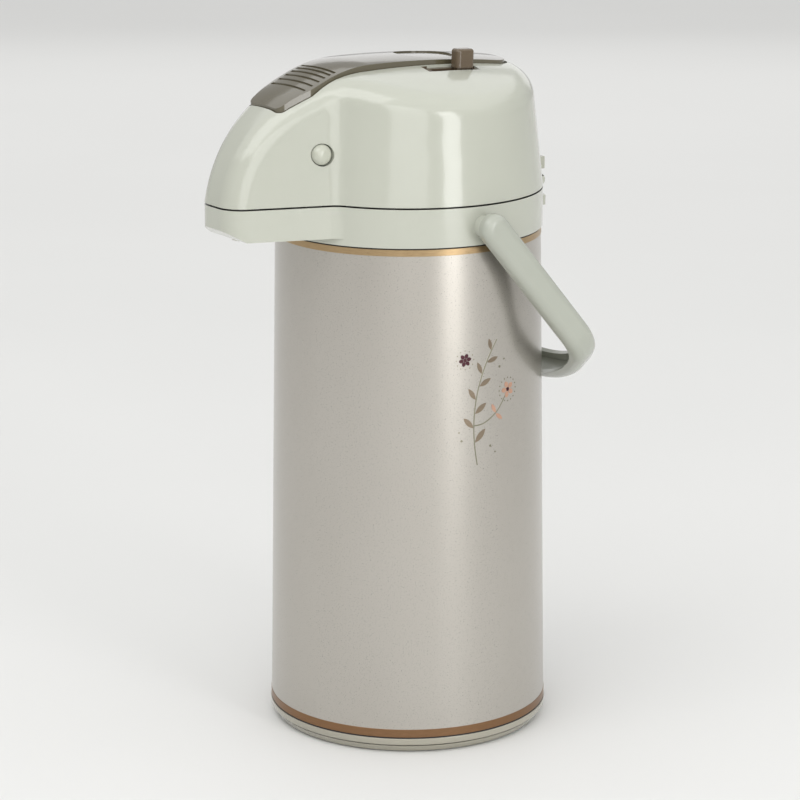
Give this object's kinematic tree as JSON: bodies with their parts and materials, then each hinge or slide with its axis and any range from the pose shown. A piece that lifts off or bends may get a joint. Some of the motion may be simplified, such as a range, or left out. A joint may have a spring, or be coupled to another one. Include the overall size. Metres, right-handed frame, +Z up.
{
  "type": "airpot",
  "caption": "Pump-action vacuum flask: steel sleeve over a glass liner, beaked hinged lid with a push plate, lock knob, release buttons, swing handle and turning foot.",
  "frame": {"origin": "on the flask's vertical axis, on the surface that it stands on", "axes": "+Z up, -Y the way the spout points, +X the side of the lock knob"},
  "size_m": [0.187, 0.2235, 0.3985],
  "materials": {
    "head_shell": "warm off-white moulded polypropylene, semi-gloss",
    "push_plate": "olive grey moulded plastic, polished",
    "handle": "warm grey moulded plastic, semi-gloss",
    "lock_knob": "brown moulded plastic",
    "buttons": "polished moulded plastic",
    "lever": "moulded plastic",
    "sleeve": "satin lacquered steel sheet",
    "foot_plastic": "warm grey moulded plastic",
    "glass": "clear blown glass",
    "rubber": "pale silicone rubber",
    "bellows": "pale moulded rubber",
    "inner_plastic": "white moulded polypropylene",
    "pipe": "drawn stainless tube",
    "steel": "bright steel"
  },
  "bodies": {
    "flask": {"foot_screw": "steel", "bottom_plate": "foot_plastic", "base_ring": "foot_plastic", "base_screws": "steel", "body_sleeve": "sleeve", "glass_liner": "glass", "liner_cushion": "rubber", "neck_packing": "rubber", "mouth_ring": "inner_plastic", "suction_pipe": "pipe", "pipe_strainer": "inner_plastic", "joint_hose": "rubber", "outlet_pipe": "pipe", "spout_nozzle": "inner_plastic", "collar": "head_shell", "hinge_pin": "steel", "handle_pin_left": "steel", "handle_pin_right": "steel"},
    "foot": {"swivel_base": "foot_plastic", "foot_pads": "rubber"},
    "handle": {"handle": "handle"},
    "lid": {"lid_shell": "head_shell", "hinge_bracket": "steel", "lid_base": "inner_plastic", "lid_screws": "steel", "pump_chamber": "inner_plastic", "stopper": "inner_plastic", "stopper_gasket": "rubber", "bellows": "bellows", "bellows_spring": "steel", "plate_pin": "steel", "button_spring_left": "steel", "button_spring_right": "steel"},
    "press": {"push_plate": "push_plate"},
    "pump": {"pump_cap": "inner_plastic", "air_valve": "rubber"},
    "lock": {"lock_slider": "lock_knob"},
    "release_left": {"release_button_left": "buttons", "latch_hook_left": "inner_plastic"},
    "release_right": {"release_button_right": "buttons", "latch_hook_right": "inner_plastic"},
    "detach": {"detach_lever": "lever"}
  },
  "joints": [
    {"name": "foot_turn", "type": "hinge", "parent": "flask", "child": "foot", "pos_m": [0, 0, 0.003], "axis": [0, 0, 1], "continuous": true},
    {"name": "handle_swing", "type": "hinge", "parent": "flask", "child": "handle", "pos_m": [0, 0, 0.3058], "axis": [1, 0, 0], "range_deg": [0, 139]},
    {"name": "lid_hinge", "type": "hinge", "parent": "flask", "child": "lid", "pos_m": [0, 0.0815, 0.3152], "axis": [-1, 0, 0], "range_deg": [0, 85]},
    {"name": "plate_press", "type": "hinge", "parent": "lid", "child": "press", "pos_m": [0, -0.089, 0.3675], "axis": [-1, 0, 0], "range_deg": [0, 11], "stiffness_Nm_per_rad": 6, "springref_deg": -4.58},
    {"name": "pump_stroke", "type": "slide", "parent": "lid", "child": "pump", "axis": [0, 0, -1], "range_m": [0, 0.0172], "deforming": ["bellows", "bellows_spring"]},
    {"name": "lock_slide", "type": "slide", "parent": "lid", "child": "lock", "axis": [0, -0.9993, 0.0384], "range_m": [0, 0.014]},
    {"name": "release_left_press", "type": "slide", "parent": "lid", "child": "release_left", "axis": [1, 0, 0], "range_m": [0, 0.003], "stiffness_N_per_m": 600, "springref_m": -0.003, "deforming": ["button_spring_left"]},
    {"name": "release_right_press", "type": "slide", "parent": "lid", "child": "release_right", "axis": [-1, 0, 0], "range_m": [0, 0.003], "stiffness_N_per_m": 600, "springref_m": -0.003, "deforming": ["button_spring_right"]},
    {"name": "detach_press", "type": "slide", "parent": "lid", "child": "detach", "axis": [0, 0, -1], "range_m": [0, 0.0012], "stiffness_N_per_m": 800, "springref_m": -0.002}
  ],
  "couplings": [
    {"joint": "pump_stroke", "follows": "plate_press", "m_per_rad": 0.089}
  ]
}
